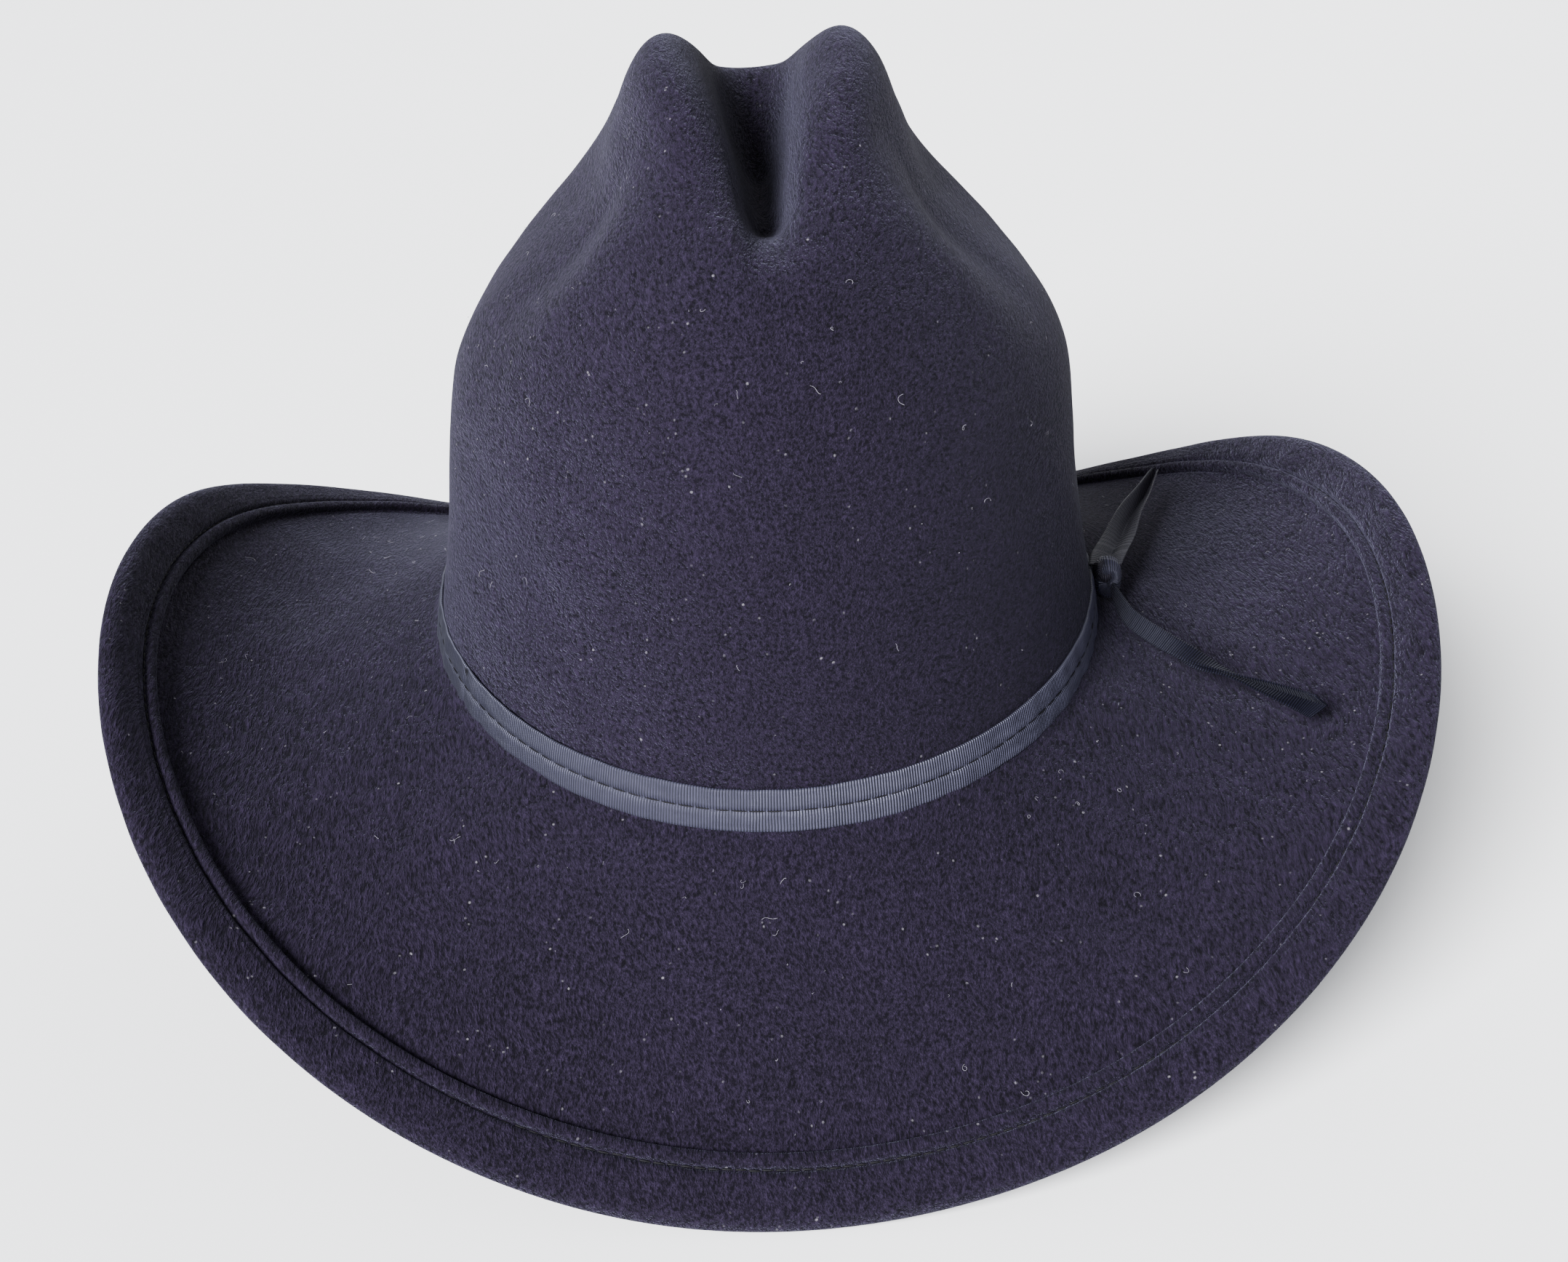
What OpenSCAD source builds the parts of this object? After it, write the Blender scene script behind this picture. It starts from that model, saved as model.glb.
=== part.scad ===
// Western felt hat: a creased crown and a rolled brim pressed from one felt, the brim's edge
// turned over and stitched down as a welt, a ribbon band knotted on the wearer's left with two
// loose tails, and a leather sweatband, reed and satin lining inside. The front faces -Y and the
// wearer's left is +X. The hat stands on the lowest points of its brim, centred on the origin.

/* [Crown] */
// Outside width of the crown at the band, left to right.
crown_w = 167; // [160:1:176]
// Outside length of the crown at the band, front to back.
crown_l = 208; // [200:1:216]
// Height of the crown's two ridges above the band line.
crown_h = 151; // [130:1:165]
// Depth of the long crease along the top.
crease_d = 32; // [20:1:34]
// Depth of the dent in each side of the crown.
dent_d = 11; // [4:0.5:13]
// How far the crown's top leans towards the wearer's left.
crown_lean = 1.5; // [-2:0.25:2]
// Thickness of the felt.
felt_t = 2.3; // [1.8:0.1:2.6]

/* [Brim] */
// Width of the brim at the sides, measured along the felt from the crown to the edge.
brim_w = 84; // [74:1:94]
// How much narrower the brim is at the front and back than at the sides.
brim_trim = 4.5; // [0:0.5:6]
// Slope of the rolled-up sides at their edge, in degrees.
roll_a = 66; // [40:1:72]
// Slope of the front of the brim where it leaves the crown, in degrees below level.
dip_a = 52; // [30:1:56]
// How much higher the crown's base sits at the sides than at the front and back.
saddle = 7; // [3:0.5:9]
// Width of the edge that is turned over and stitched down.
welt_w = 14.5; // [9:0.5:18]

/* [Ribbon] */
// Width of the ribbon of the band and of its tails.
ribbon_w = 9.5; // [7:0.5:14]
// Thickness of the ribbon.
ribbon_t = 0.6; // [0.4:0.1:1]
// Radius of the knot.
knot_r = 5.2; // [4.5:0.1:6]

/* [Inside] */
// Thickness of the sweatband's leather.
leather_t = 0.8; // [0.6:0.1:1.2]
// Radius of the reed along the sweatband's lower edge.
reed_r = 1.1; // [0.8:0.1:1.4]
// Thickness of the lining's satin.
satin_t = 0.3; // [0.2:0.05:0.5]

/* [Hidden] */
cols = 60;             // stations round the hat, the first at the front
hx = crown_w / 2;
hy = crown_l / 2;
kx = crown_w / 167;
ky = crown_l / 203;
kz = crown_h / 151;
gap = 0.3;             // clearance between layers that lie against each other
spine_f = 44 * ky;     // the crown's top closes on a line from here in front of the middle
spine_b = 46 * ky;     // to here behind it
root = 1.03;           // the brim starts this much outside the crown's oval

// Half sections of the crown, from the band line to the top: distance out, height.
side = [for (p = [[83.5, 0], [78.4, 34], [76, 60], [73.6, 80], [65.5, 99], [51, 117],
                  [37, 134], [22.5, 151], [0, 144.5]]) [p[0] * kx, p[1] * kz]];
front = [for (p = [[101.5, 0], [95, 34], [91, 62], [87, 88], [81.5, 106], [74.5, 119],
                   [65, 129], [55, 136], [44, 141]]) [p[0] * ky, p[1] * kz]];
back = [for (p = [[101.5, 0], [97, 36], [93.5, 64], [89, 90], [82.5, 110], [74, 124],
                  [65, 131.5], [56, 134.5], [46, 135]]) [p[0] * ky, p[1] * kz]];

function unit(a) = a / norm(a);
function ease(a, b, x) = let (k = max(0, min(1, (x - a) / (b - a)))) k * k * (3 - 2 * k);

// A smooth curve through the points of p, with v running from 0 to 1 along it.
function curve(p, v) =
    let (n = len(p) - 1, i = min(n - 1, floor(v * n)), f = v * n - i,
         a = p[max(i - 1, 0)], b = p[i], c = p[i + 1], d = p[min(i + 2, n)])
    0.5 * (2 * b + (c - a) * f + (2 * a - 5 * b + 4 * c - d) * f * f
           + (3 * b - a - 3 * c + d) * f * f * f);

// The dent pressed into each side, deepest towards the front.
function dented(p) =
    let (along = ease(-60, -26, p[1]) * (1 - 0.8 * ease(-5, 55, p[1])),
         up = exp(-pow((p[2] / kz - 114) / 20, 2)))
    [p[0] - sign(p[0]) * dent_d * along * up * ease(6, 30, abs(p[0])), p[1], p[2]];

// The long crease along the top, running down the front to a point.
function creased(p) =
    let (y = p[1], x = abs(p[0]), wide = 5.2 + 2.6 * ease(-70, 20, y),
         valley = 0.42 * (1 - 0.86 * ease(24, 70, y)) * exp(-pow(x / 12.5, 2)),
         channel = 0.58 * (1 - ease(20, 62, y)) * exp(-pow(x / wide, 3)),
         d = crease_d * ease(-84, -46, y) * ease(100, 134, p[2] / kz) * (valley + channel),
         lean = max(-0.3, min(0.9, -p[1] / 75)), n = norm([lean, 1]))
    [p[0], p[1] + d * lean / n, p[2] - d / n];

// The crown's upper part, shifted a little to one side.
function leaned(p) = p + [crown_lean * ease(50, 110, p[2] / kz), 0, 0];

// A point on the crown at angle t round it and v up it, from the band line to the top.
function crown_pt(t, v) =
    let (c = cos(t), s = sin(t), w = c * c, a = curve(side, v),
         e = curve(s < 0 ? front : back, v), sp = s < 0 ? spine_f : spine_b,
         u = w * a[0] / hx + (1 - w) * (e[0] - sp) / (hy - sp),
         rise = saddle * w * (1 - min(1, v * 8 / 3)))
    leaned(creased(dented([u * hx * c, sp * s + u * (hy - sp) * s,
                           w * a[1] + (1 - w) * e[1] + rise])));

// The level direction straight out of the crown at angle t.
function out_dir(t) = unit([cos(t) / hx, sin(t) / hy, 0]);

// A mix of a side, front and back value for angle t.
function round_mix(t, a, b, c) =
    let (w = pow(cos(t) * cos(t), 1.05)) a * w + (sin(t) < 0 ? b : c) * (1 - w);

// The brim's section at angle t, as points from the crown to the edge.
brim_steps = 24;
function brim_col(t) =
    let (a0 = round_mix(t, -11, -dip_a, -40), a1 = round_mix(t, roll_a, 14 - dip_a, -33),
         pw = round_mix(t, 1.8, 1.2, 1.15), o = out_dir(t),
         ds = round_mix(t, brim_w, brim_w - brim_trim, brim_w - brim_trim) / brim_steps,
         p0 = [root * hx * cos(t), root * hy * sin(t), saddle * cos(t) * cos(t)],
         a = [for (i = [0 : brim_steps]) a0 + (a1 - a0) * pow((i + 0.5) / brim_steps, pw)])
    [for (i = 0, r = 0, z = 0; i <= brim_steps;
          r = r + cos(a[i]) * ds, z = z + sin(a[i]) * ds, i = i + 1) p0 + o * r + [0, 0, z]];

// The felt's upper face as rows of points, from the top of the crown to the brim's edge.
crown_v = [1, 0.965, 0.935, 0.9, 0.86, 0.82, 0.77, 0.73, 0.68, 0.62, 0.55, 0.45, 0.3, 0.18, 0.008];
fold_s = 1 - welt_w / brim_w;
brim_s = [0, 0.16, 0.32, 0.48, 0.64, fold_s - 0.06, fold_s, fold_s + 0.3 * (1 - fold_s),
          fold_s + 0.66 * (1 - fold_s), 1];
angles = [for (j = [0 : cols - 1]) -90 + j * 360 / cols];
function at(c, s) = let (k = s * brim_steps, i = min(brim_steps - 1, floor(k)))
    c[i] + (c[i + 1] - c[i]) * (k - i);
brim_cols = [for (t = angles) brim_col(t)];
face = concat([for (v = crown_v) [for (t = angles) crown_pt(t, v)]],
              [for (s = brim_s) [for (c = brim_cols) at(c, s)]]);
last = len(face) - 1;
fold = last - 3;       // the row under the welt's free edge
half = cols / 2;

// The felt's upward or outward direction at each point of that face.
function level_dir(d) = unit([0, -d[2], d[1]]);
function top_dir(j) = let (k = j <= half ? j : cols - j)
    level_dir(face[0][min(k + 4, half)] - face[0][max(k - 4, 0)]);
function face_dir(i, j) = i == 0 ? top_dir(j)
    : unit(cross(face[i][(j + 1) % cols] - face[i][(j + cols - 1) % cols],
                 face[max(i - 1, 0)][j] - face[min(i + 1, last)][j]));
dirs = [for (i = [0 : last]) [for (j = [0 : cols - 1]) face_dir(i, j)]];

// Row i of the face moved d along the felt's own direction.
function row(i, d) = [for (j = [0 : cols - 1]) face[i][j] + dirs[i][j] * d];
function row_mix(a, b, k) = [for (j = [0 : cols - 1]) a[j] * (1 - k) + b[j] * k];

// The rounded rim of the turned-over edge.
rim_out = [for (j = [0 : cols - 1]) face[last][j] + unit(face[last][j] - face[last - 1][j]) * felt_t * 0.6];
origin = let (y = [for (p = rim_out) p[1]], z = [for (p = row(last, -felt_t)) p[2]])
    [0, -(min(y) + max(y)) / 2, -min(z)];

// A four-sided face as two triangles, its corner line mirrored between the hat's two halves.
function split(q, left) = left ? [[q[0], q[1], q[2]], [q[0], q[2], q[3]]]
    : [[q[0], q[1], q[3]], [q[1], q[2], q[3]]];

// A closed sheet over the crown: its first and last rows each close on the top line.
module cap(rows) {
    n = len(rows) - 1;
    pts = concat([for (j = [0 : half]) rows[0][j]],
                 [for (i = [1 : n - 1]) each rows[i]],
                 [for (j = [0 : half]) rows[n][j]]);
    function short(j) = let (k = j % cols) k <= half ? k : cols - k;
    function id(i, j) = i == 0 ? short(j)
        : i == n ? half + 1 + (n - 1) * cols + short(j)
        : half + 1 + (i - 1) * cols + j % cols;
    // Beside the top line, the corner lines run to its nearer end.
    function lean(i, j) = i == 0 ? j % half < half / 2
        : i == n - 1 ? j % half >= half / 2 : j < half;
    polyhedron(pts, [for (i = [0 : n - 1], j = [0 : cols - 1])
        each split([id(i, j), id(i + 1, j), id(i + 1, j + 1), id(i, j + 1)], lean(i, j))]);
}

// A closed hoop of any section: the rows run round the section.
module hoop(rows) {
    n = len(rows);
    m = len(rows[0]);
    polyhedron([for (r = rows) each r], [for (i = [0 : n - 1], j = [0 : m - 1])
        let (a = i * m, b = ((i + 1) % n) * m, k = (j + 1) % m)
        each split([a + j, b + j, b + k, a + k], j < m / 2)]);
}

// A flat strip of ribbon along the points of path, w wide and t thick, lying level.
module strip(path, w, t) {
    n = len(path) - 1;
    along = [for (i = [0 : n]) unit(path[min(i + 1, n)] - path[max(i - 1, 0)])];
    across = [for (a = along) unit(cross(a, [0, 0, 1]))];
    pts = [for (i = [0 : n]) let (u = across[i] * w / 2, h = cross(across[i], along[i]) * t / 2)
        each [path[i] - u - h, path[i] + u - h, path[i] + u + h, path[i] - u + h]];
    polyhedron(pts, concat([[0, 1, 2], [0, 2, 3]],
        [for (i = [0 : n - 1], k = [0 : 3], q = [0, 1])
            let (a = i * 4 + k, b = i * 4 + (k + 1) % 4)
            q == 0 ? [a, a + 4, b + 4] : [a, b + 4, b]],
        [[n * 4, n * 4 + 2, n * 4 + 1], [n * 4, n * 4 + 3, n * 4 + 2]]));
}

// A stitch lying along d at p.
module stitch(p, d, size) {
    translate(p) rotate([0, -asin(d[2] / norm(d)), atan2(d[1], d[0])]) cube(size, center = true);
}

// The height v up the crown at which the face is h above the band line, at angle t.
function v_at(t, h, a = 0, b = 0.5, n = 14) =
    n == 0 ? (a + b) / 2
    : let (m = (a + b) / 2, up = crown_pt(t, m)[2] > h + saddle * cos(t) * cos(t))
      v_at(t, h, up ? a : m, up ? m : b, n - 1);
// A point h above the band line and d outside the felt's outer face.
function wall_pt(t, h, d) = crown_pt(t, v_at(t, h)) + out_dir(t) * d;
function wall_row(h, d, m = cols) = [for (j = [0 : m - 1]) wall_pt(-90 + j * 360 / m, h, d)];

// ---- felt body: crown, brim and turned-over edge in one piece ----
module felt_body() {
    color([0.07, 0.07, 0.08]) translate(origin) cap(concat(
        [for (i = [0 : fold]) row(i, 0)],
        [for (i = [fold : last]) row(i, felt_t)],
        [rim_out],
        [for (i = [last : -1 : 0]) row(i, -felt_t)]));
}

// ---- welt stitching: the row that holds the turned-over edge down ----
stitch_l = 3.4;
module welt_stitching() {
    s = fold_s + 3.6 / brim_w;
    n = 120;
    color([0.05, 0.05, 0.06]) translate(origin) for (j = [0 : n - 1]) {
        t = -90 + j * 360 / n;
        c = brim_col(t);
        p = at(c, s);
        d = at(brim_col(t + 1), s) - p;
        up = unit(cross(d, at(c, s - 0.02) - p));
        stitch(p + up * felt_t, d, [stitch_l, 0.5, 0.7]);
    }
}

// ---- band: a narrow ribbon round the base of the crown ----
band_low = 1.4;
module hat_band() {
    color([0.12, 0.13, 0.17]) translate(origin)
        hoop([wall_row(band_low, gap), wall_row(band_low, gap + ribbon_t),
              wall_row(band_low + ribbon_w / 2, gap + ribbon_t),
              wall_row(band_low + ribbon_w, gap + ribbon_t),
              wall_row(band_low + ribbon_w, gap), wall_row(band_low + ribbon_w / 2, gap)]);
}

// ---- band stitching: the row of thread along the middle of the band ----
module band_stitching() {
    n = 80;
    h = band_low + ribbon_w / 2;
    color([0.05, 0.05, 0.06]) translate(origin) for (j = [3 : n - 3]) {
        t = -4 + j * 360 / n;
        p = wall_pt(t, h, gap + ribbon_t);
        stitch(p, wall_pt(t + 1, h, gap + ribbon_t) - p, [3, 0.5, 0.5]);
    }
}

// ---- band tacks: short upright threads that hold the band to the felt ----
module band_tacks() {
    color([0.05, 0.05, 0.06]) translate(origin) for (t = [-152, 30, 90, 150]) {
        p = wall_pt(t, band_low + ribbon_w - 1.5, gap + ribbon_t / 2);
        stitch(p, out_dir(t), [ribbon_t + 0.6, 0.6, 2.4]);
    }
}

// ---- knot and tails, on the wearer's left ----
knot_t = -6;
knot_at = wall_pt(knot_t, band_low + ribbon_w * 0.67, gap + ribbon_t + knot_r * 0.72);
module ribbon_knot() {
    color([0.12, 0.13, 0.17]) translate(origin) translate(knot_at) {
        intersection() {
            sphere(r = knot_r, $fn = 48);
            rotate([0, 0, knot_t]) cube([2 * knot_r * 0.72, 3 * knot_r, 3 * knot_r], center = true);
        }
    }
}

// The tails leave the knot just clear of it and hang free over the brim.
function tail_path(pts) = [for (k = [0 : 11]) curve(pts, k / 11)];
front_dir = unit([0.22, -1, 0.06]);
front_tail_pts = [knot_at + front_dir * (knot_r + 0.6), [91, -31, 12.5], [98.5, -46, 10.5],
                  [107.5, -54, 8.5], [116, -60, 7], [127, -69, 6]];
back_dir = unit([0.36, 1, 0.1]);
back_tail_pts = [knot_at + back_dir * (knot_r + 0.6), [93.5, 10, 15.5], [99.5, 26, 15],
                 [106.5, 42, 14.3], [113, 57, 14]];
module ribbon_tail_front() {
    color([0.12, 0.13, 0.17]) translate(origin) strip(tail_path(front_tail_pts), ribbon_w * 0.72, ribbon_t * 1.6);
}
module ribbon_tail_back() {
    color([0.12, 0.13, 0.17]) translate(origin) strip(tail_path(back_tail_pts), ribbon_w * 0.85, ribbon_t * 1.6);
}

// ---- sweatband: the leather strip that lies against the head ----
sweat_out = felt_t + 1.05;
sweat_rows = [[1.4, 0], [18, 0.1], [34, 0.3], [50, 0.5]];   // height, extra distance inward
module sweatband() {
    color([0.10, 0.07, 0.05]) translate(origin)
        hoop(concat([for (r = sweat_rows) wall_row(r[0], -sweat_out - r[1])],
                    [for (k = [3 : -1 : 0]) wall_row(sweat_rows[k][0],
                                                     -sweat_out - sweat_rows[k][1] - leather_t)]));
}

// ---- reed: the springy cord in the sweatband's lower edge ----
module sweatband_reed() {
    c = sweat_out + leather_t / 2 + 0.25;
    color([0.75, 0.73, 0.68]) translate(origin) hoop([for (a = [0 : 60 : 300])
        [for (t = angles) let (p = wall_pt(t, 0.9, -c))
            p + out_dir(t) * reed_r * cos(a) + [0, 0, reed_r * sin(a) - reed_r - 0.75]]]);
}

// ---- sweatband stitching: the row above the reed ----
module sweatband_stitching() {
    n = 90;
    color([0.20, 0.17, 0.13]) translate(origin) for (j = [0 : n - 1]) {
        t = -90 + (j + 0.5) * 360 / n;
        p = wall_pt(t, 4.2, -sweat_out - leather_t);
        stitch(p, wall_pt(t + 1, 4.2, -sweat_out - leather_t) - p, [3, 0.5, 0.5]);
    }
}

// ---- sweatband seam: the crossed threads that close the strip at the back ----
module sweatband_seam() {
    color([0.20, 0.17, 0.13]) translate(origin) for (k = [0 : 8]) {
        p = wall_pt(90, 8 + k * 4.6, -sweat_out - leather_t - 0.1 * k / 8 * 5);
        translate(p) rotate([0, (k % 2) * 80 - 40, 0]) cube([0.5, 0.5, 4.6], center = true);
    }
}

// ---- sweatband bow: the little ribbon bow at the back ----
module sweatband_bow() {
    p = wall_pt(90, 12, -sweat_out - leather_t - 0.2);
    color([0.10, 0.10, 0.13]) translate(origin) translate(p) rotate([90, 0, 0]) {
        for (m = [-1, 1]) {
            translate([m * 6.2, 0, 0]) linear_extrude(1) difference() {
                circle(r = 4.6, $fn = 32);
                circle(r = 3.4, $fn = 32);
            }
            rotate([0, 0, m * 28]) translate([-1.6, -14, 0]) cube([3.2, 13, 0.5]);
        }
        translate([-2.2, -2, -0.1]) cube([4.4, 4, 1.8]);
    }
}

// ---- lining: a side panel, an oval tip that follows the crown's top, and a cord between ----
lining_out = felt_t + 0.8;
side_rows = [9, 10, 11, 12, 13];
module lining_side() {
    color([0.62, 0.60, 0.57]) translate(origin)
        hoop(concat([for (i = side_rows) row(i, -lining_out)],
                    [for (k = [4 : -1 : 0]) row(side_rows[k], -lining_out - satin_t)]));
}

piping_r = 0.9;
tip_row = 8;            // the face's row at the tip's edge; the next row starts the side panel
module lining_piping() {
    c = row_mix(row(tip_row, -lining_out - piping_r), row(tip_row + 1, -lining_out - piping_r), 0.5);
    color([0.62, 0.60, 0.57]) translate(origin) hoop([for (a = [0 : 60 : 300])
        [for (j = [0 : cols - 1]) c[j] + out_dir(angles[j]) * piping_r * cos(a)
            + [0, 0, piping_r * sin(a)]]]);
}

module lining_tip() {
    color([0.62, 0.60, 0.57]) translate(origin) cap(concat(
        [for (i = [0 : tip_row]) row(i, -lining_out)],
        [for (i = [tip_row : -1 : 0]) row(i, -lining_out - satin_t)]));
}

felt_body();
welt_stitching();
hat_band();
band_stitching();
band_tacks();
ribbon_knot();
ribbon_tail_front();
ribbon_tail_back();
sweatband();
sweatband_reed();
sweatband_stitching();
sweatband_seam();
sweatband_bow();
lining_side();
lining_piping();
lining_tip();
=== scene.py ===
"""Western felt hat: the looks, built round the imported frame. Metres, +Z up, the front faces -Y."""
import math

import bpy
import numpy as np
from mathutils import Matrix, Vector

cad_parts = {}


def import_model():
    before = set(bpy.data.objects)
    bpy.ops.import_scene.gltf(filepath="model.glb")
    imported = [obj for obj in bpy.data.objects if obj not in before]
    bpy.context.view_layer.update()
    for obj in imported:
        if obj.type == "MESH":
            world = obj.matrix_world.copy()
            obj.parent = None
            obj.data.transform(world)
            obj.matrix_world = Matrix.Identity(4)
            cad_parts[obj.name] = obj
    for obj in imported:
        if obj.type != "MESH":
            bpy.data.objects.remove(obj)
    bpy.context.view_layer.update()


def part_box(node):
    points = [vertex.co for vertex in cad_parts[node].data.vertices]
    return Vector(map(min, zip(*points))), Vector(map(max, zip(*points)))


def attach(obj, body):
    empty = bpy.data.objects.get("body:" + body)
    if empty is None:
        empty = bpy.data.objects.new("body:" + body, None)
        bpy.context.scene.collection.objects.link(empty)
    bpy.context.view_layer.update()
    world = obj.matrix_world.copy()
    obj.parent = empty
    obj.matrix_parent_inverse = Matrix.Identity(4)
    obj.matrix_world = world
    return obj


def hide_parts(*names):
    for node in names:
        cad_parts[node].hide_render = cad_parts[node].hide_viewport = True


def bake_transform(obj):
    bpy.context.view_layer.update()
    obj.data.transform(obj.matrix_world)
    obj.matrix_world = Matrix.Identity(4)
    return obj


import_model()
MM = 0.001
RNG = np.random.default_rng(20)

# In mm. The band's lower edge is BAND_LOW above the band line, which is height 0 in the shapes below.
BAND_LOW, RIBBON_W, RIBBON_T, FELT_T, SATIN_T = 1.4, 9.5, 0.6, 2.3, 0.3
RIB_STEP = 0.65   # from one rib of the grosgrain to the next
_lo, _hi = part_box("hat_band")
ORIGIN = np.array([0.0, (_lo.y + _hi.y) / 2, _lo.z - BAND_LOW * MM])

# ---------------------------------------------------------------- the hat's shape, in mm
# Half sizes at the band line, how much higher that line is at the sides, and a stretch of the end outlines.
HALF_W, HALF_L, SADDLE, LONGER = 83.5, 104.0, 7.0, 208 / 203
# The top line's reach to the front and back, and the brim's root as a share of the band line's oval.
SPINE_F, SPINE_B, ROOT = 44.0 * LONGER, 46.0 * LONGER, 1.03
# The brim's width at the sides and what it loses at the ends, the turned-over edge, the crown's sideways lean.
BRIM_W, BRIM_TRIM, WELT_W, LEAN = 84.0, 4.5, 14.5, 1.5
CREASE_D, DENT_D = 32.0, 11.0
# The crown's outlines from the band line to the top line, as distance out and height.
SIDE = [(83.5, 0), (78.4, 34), (76, 60), (73.6, 80), (65.5, 99), (51, 117),
        (37, 134), (22.5, 151), (0, 144.5)]
FRONT = [(101.5, 0), (95, 34), (91, 62), (87, 88), (81.5, 106), (74.5, 119),
         (65, 129), (55, 136), (44, 141)]
BACK = [(101.5, 0), (97, 36), (93.5, 64), (89, 90), (82.5, 110), (74, 124),
        (65, 131.5), (56, 134.5), (46, 135)]


def curve(points, v):
    """A smooth curve through points, with v from 0 to 1 along it."""
    p = np.array(points, float)
    n = len(p) - 1
    x = np.clip(np.asarray(v, float) * n, 0, n - 1e-9)
    i = x.astype(int)
    f = (x - i)[..., None]
    a, b, c, d = p[np.maximum(i - 1, 0)], p[i], p[i + 1], p[np.minimum(i + 2, n)]
    square, cube = 2 * a - 5 * b + 4 * c - d, 3 * b - a - 3 * c + d
    return 0.5 * (2 * b + (c - a) * f + square * f ** 2 + cube * f ** 3)


def ease(a, b, x):
    """0 where x is below a, 1 above b, and smooth between."""
    k = np.clip((x - a) / (b - a), 0, 1)
    return k * k * (3 - 2 * k)


def unit(a):
    return a / np.maximum(np.linalg.norm(a, axis=-1, keepdims=True), 1e-12)


def round_hat(n, shift=0.0):
    """n even angles round the hat from its front, moved on by shift of a step."""
    return np.radians(-90 + (np.arange(n) + shift) * 360 / n)


def crown(t, v, crease_d=CREASE_D, widen=0.0):
    """Points on the crown's outside at angle t (radians) and v from the band line (0) to the top (1).

    The crease is a wide valley with a narrow channel in it. widen makes both wider, for the faces inside.
    """
    t, v = np.broadcast_arrays(t, v)
    c, s = np.cos(t), np.sin(t)
    w = c * c
    a, f, b = curve(SIDE, v), curve(FRONT, v), curve(BACK, v)
    e = np.where((s < 0)[..., None], f, b) * (LONGER, 1)
    sp = np.where(s < 0, SPINE_F, SPINE_B)
    u = w * a[..., 0] / HALF_W + (1 - w) * (e[..., 0] - sp) / (HALF_L - sp)
    z = w * a[..., 1] + (1 - w) * e[..., 1] + SADDLE * w * (1 - np.clip(v * 8 / 3, 0, 1))
    x, y = u * HALF_W * c, sp * s + u * (HALF_L - sp) * s
    along = ease(-60, -26, y) * (1 - 0.8 * ease(-5, 55, y))
    x = x - np.sign(x) * DENT_D * along * np.exp(-((z - 114) / 20) ** 2) * ease(6, 30, np.abs(x))
    valley = 0.42 * (1 - 0.86 * ease(24, 70, y)) * np.exp(-(x / (12.5 + widen)) ** 2)
    wide = 5.2 + widen + 2.6 * ease(-70, 20, y)
    channel = 0.58 * (1 - ease(20, 62, y)) * np.exp(-(np.abs(x) / wide) ** 3)
    d = crease_d * ease(-84, -46, y) * ease(100, 134, z) * (valley + channel)
    lean = np.clip(-y / 75, -0.3, 0.9)
    n = np.hypot(lean, 1)
    y, z = y + d * lean / n, z - d / n
    return np.stack([x + LEAN * ease(50, 110, z), y, z], -1)


def out_dir(t):
    """The level direction straight out from the crown at angles t."""
    return unit(np.stack([np.cos(t) / HALF_W, np.sin(t) / HALF_L, np.zeros_like(t)], -1))


def side_share(t):
    """1 at the sides, 0 at the front and back."""
    return (np.cos(t) ** 2) ** 1.05


def brim_width(t):
    """The brim is a little narrower at the front and back than at the sides."""
    w = side_share(t)
    return BRIM_W * w + (BRIM_W - BRIM_TRIM) * (1 - w)


def brim(t, d, from_edge=False):
    """Points on the brim's top at angles t, with the outward and upward directions there.

    d is the distance from the crown, or in from the edge: one for all angles, or one for each.
    """
    steps = 172
    w = side_share(t)
    mix = lambda side, front, back: side * w + np.where(np.sin(t) < 0, front, back) * (1 - w)
    a0, a1 = np.radians(mix(-11, -52, -40)), np.radians(mix(66, -38, -33))
    width = brim_width(t)
    ds = width / steps
    k = (np.arange(steps)[:, None] + 0.5) / steps
    a = a0 + (a1 - a0) * k ** mix(1.8, 1.2, 1.15)
    zero = np.zeros((1, len(t)))
    r = np.concatenate([zero, np.cumsum(np.cos(a) * ds, 0)])
    z = np.concatenate([zero, np.cumsum(np.sin(a) * ds, 0)])
    d = np.asarray(d, float)
    d = d[:, None] * np.ones(len(t)) if d.ndim == 1 else d
    d = width - d if from_edge else d
    x = np.clip(d / ds, 0, steps - 1e-6)
    i = x.astype(int)
    f = x - i
    take = lambda q, j: np.take_along_axis(q, j, 0)
    angle = take(a, np.minimum(i, steps - 1))
    cos, sin = np.cos(angle), np.sin(angle)
    over = np.maximum(d - width, 0)
    rr = take(r, i) * (1 - f) + take(r, i + 1) * f + over * cos
    zz = take(z, i) * (1 - f) + take(z, i + 1) * f + over * sin
    o, up = out_dir(t), np.array([0, 0, 1.0])
    root = np.stack([ROOT * HALF_W * np.cos(t), ROOT * HALF_L * np.sin(t), SADDLE * np.cos(t) ** 2], -1)
    p = root + o * rr[..., None] + up * zz[..., None]
    cos, sin = cos[..., None], sin[..., None]
    return p, o * cos + up * sin, -o * sin + up * cos


def wall(t, h, d):
    """Points h above the band line and d outside the crown's face, for arrays t, h and d."""
    t, h, d = np.broadcast_arrays(np.asarray(t, float), np.asarray(h, float), np.asarray(d, float))
    vs = np.linspace(0, 0.5, 60)
    grid = crown(t[..., None], vs)
    up = grid[..., 2] - SADDLE * (np.cos(t) ** 2)[..., None]
    flat_up, flat_h = up.reshape(-1, 60), h.reshape(-1)
    v = np.array([np.interp(q, row, vs) for q, row in zip(flat_h, flat_up)]).reshape(h.shape)
    p = crown(t, v) + out_dir(t) * d[..., None]
    p[..., 2] += np.minimum(h, 0)
    return p


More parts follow.
